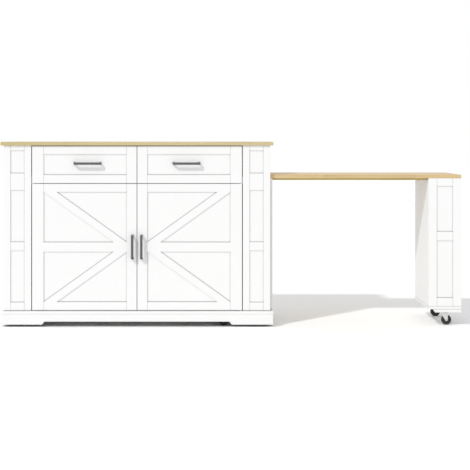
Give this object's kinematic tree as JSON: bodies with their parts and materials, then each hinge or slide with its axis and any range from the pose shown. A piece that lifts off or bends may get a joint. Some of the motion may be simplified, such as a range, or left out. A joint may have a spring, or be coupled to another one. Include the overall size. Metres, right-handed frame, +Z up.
{
  "type": "kitchen island with pull-out table",
  "caption": "White rolling kitchen island with an oak worktop, framed drawers and braced doors, and an oak table on a box leg that slides out of its side.",
  "frame": {"origin": "on the floor, in the middle of the footprint of the island with its table out", "axes": "+X to the right along the island, from the cabinet to the table; +Y from the doors into the cabinet; +Z up"},
  "size_m": [2.286, 0.483, 0.915],
  "materials": {
    "white_paint": "smooth white satin paint on fibreboard",
    "white_board": "white melamine-faced board",
    "oak": "light oak, satin lacquer",
    "dark_oak": "darker oiled wood",
    "zinc": "zinc plated",
    "handle_grey": "satin dark grey",
    "nylon": "natural nylon",
    "caster_white": "white powder coat",
    "tyre": "matt black"
  },
  "bodies": {
    "cabinet": {"countertop": "oak", "top_rails": "white_board", "countertop_screws": "zinc", "left_side_panel": "white_paint", "right_side_panel": "white_paint", "side_cover_panel": "white_paint", "left_inner_panel": "white_board", "right_inner_panel": "white_board", "left_pilaster": "white_paint", "right_pilaster": "white_paint", "back_panel": "white_paint", "bottom_panel": "white_board", "leaf_bay_panel": "white_board", "drawer_divider": "white_board", "compartment_divider": "white_board", "shelves": "white_board", "shelf_pins": "zinc", "plinth_front": "white_paint", "plinth_rear": "white_paint", "plinth_sides": "white_paint", "plinth_cap": "white_paint", "leaf_guides": "nylon", "drawer_rails": "zinc", "door_pivots": "zinc", "door_catches": "nylon", "caster_plates": "zinc"},
    "left_drawer": {"left_drawer_front": "white_paint", "left_drawer_box": "white_board", "left_drawer_handle": "handle_grey", "left_drawer_runners": "zinc"},
    "right_drawer": {"right_drawer_front": "white_paint", "right_drawer_box": "white_board", "right_drawer_handle": "handle_grey", "right_drawer_runners": "zinc"},
    "left_door": {"left_door": "white_paint", "left_door_handle": "handle_grey"},
    "right_door": {"right_door": "white_paint", "right_door_handle": "handle_grey"},
    "table": {"leaf_top": "oak", "leaf_runners": "dark_oak", "leaf_stop_block": "dark_oak", "leg_front": "white_paint", "leg_rear": "white_paint", "leg_inner_panel": "white_paint", "leg_outer_panel": "white_paint", "leg_base": "white_paint", "leg_bottom_panel": "white_board", "leg_caster_plates": "zinc"},
    "caster_1": {"caster_fork_1": "caster_white"},
    "wheel_1": {"caster_wheel_1": "tyre"},
    "caster_2": {"caster_fork_2": "caster_white"},
    "wheel_2": {"caster_wheel_2": "tyre"},
    "caster_3": {"caster_fork_3": "caster_white"},
    "wheel_3": {"caster_wheel_3": "tyre"},
    "caster_4": {"caster_fork_4": "caster_white"},
    "wheel_4": {"caster_wheel_4": "tyre"},
    "caster_5": {"caster_fork_5": "caster_white"},
    "wheel_5": {"caster_wheel_5": "tyre"},
    "caster_6": {"caster_fork_6": "caster_white"},
    "wheel_6": {"caster_wheel_6": "tyre"}
  },
  "joints": [
    {"name": "left_drawer_slide", "type": "slide", "parent": "cabinet", "child": "left_drawer", "axis": [0, -1, 0], "range_m": [0, 0.26]},
    {"name": "right_drawer_slide", "type": "slide", "parent": "cabinet", "child": "right_drawer", "axis": [0, -1, 0], "range_m": [0, 0.26]},
    {"name": "left_door_hinge", "type": "hinge", "parent": "cabinet", "child": "left_door", "pos_m": [-0.9795, -0.2075, 0.394], "axis": [0, 0, -1], "range_deg": [0, 110]},
    {"name": "right_door_hinge", "type": "hinge", "parent": "cabinet", "child": "right_door", "pos_m": [0.0435, -0.2075, 0.394], "axis": [0, 0, 1], "range_deg": [0, 110]},
    {"name": "table_slide", "type": "slide", "parent": "cabinet", "child": "table", "axis": [-1, 0, 0], "range_m": [0, 0.773]},
    {"name": "caster_1_swivel", "type": "hinge", "parent": "cabinet", "child": "caster_1", "pos_m": [-1.061, -0.16741, 0.058], "axis": [0, 0, 1], "continuous": true},
    {"name": "wheel_1_spin", "type": "hinge", "parent": "caster_1", "child": "wheel_1", "pos_m": [-1.046, -0.16741, 0.025], "axis": [0, 1, 0], "continuous": true},
    {"name": "caster_2_swivel", "type": "hinge", "parent": "cabinet", "child": "caster_2", "pos_m": [-0.054, -0.16741, 0.058], "axis": [0, 0, 1], "continuous": true},
    {"name": "wheel_2_spin", "type": "hinge", "parent": "caster_2", "child": "wheel_2", "pos_m": [-0.039, -0.16741, 0.025], "axis": [0, 1, 0], "continuous": true},
    {"name": "caster_3_swivel", "type": "hinge", "parent": "cabinet", "child": "caster_3", "pos_m": [-1.061, 0.18041, 0.058], "axis": [0, 0, 1], "continuous": true},
    {"name": "wheel_3_spin", "type": "hinge", "parent": "caster_3", "child": "wheel_3", "pos_m": [-1.046, 0.18041, 0.025], "axis": [0, 1, 0], "continuous": true},
    {"name": "caster_4_swivel", "type": "hinge", "parent": "cabinet", "child": "caster_4", "pos_m": [-0.054, 0.18041, 0.058], "axis": [0, 0, 1], "continuous": true},
    {"name": "wheel_4_spin", "type": "hinge", "parent": "caster_4", "child": "wheel_4", "pos_m": [-0.039, 0.18041, 0.025], "axis": [0, 1, 0], "continuous": true},
    {"name": "caster_5_swivel", "type": "hinge", "parent": "table", "child": "caster_5", "pos_m": [1.06125, -0.1405, 0.058], "axis": [0, 0, 1], "continuous": true},
    {"name": "wheel_5_spin", "type": "hinge", "parent": "caster_5", "child": "wheel_5", "pos_m": [1.07625, -0.1405, 0.025], "axis": [0, 1, 0], "continuous": true},
    {"name": "caster_6_swivel", "type": "hinge", "parent": "table", "child": "caster_6", "pos_m": [1.06125, 0.1535, 0.058], "axis": [0, 0, 1], "continuous": true},
    {"name": "wheel_6_spin", "type": "hinge", "parent": "caster_6", "child": "wheel_6", "pos_m": [1.07625, 0.1535, 0.025], "axis": [0, 1, 0], "continuous": true}
  ]
}
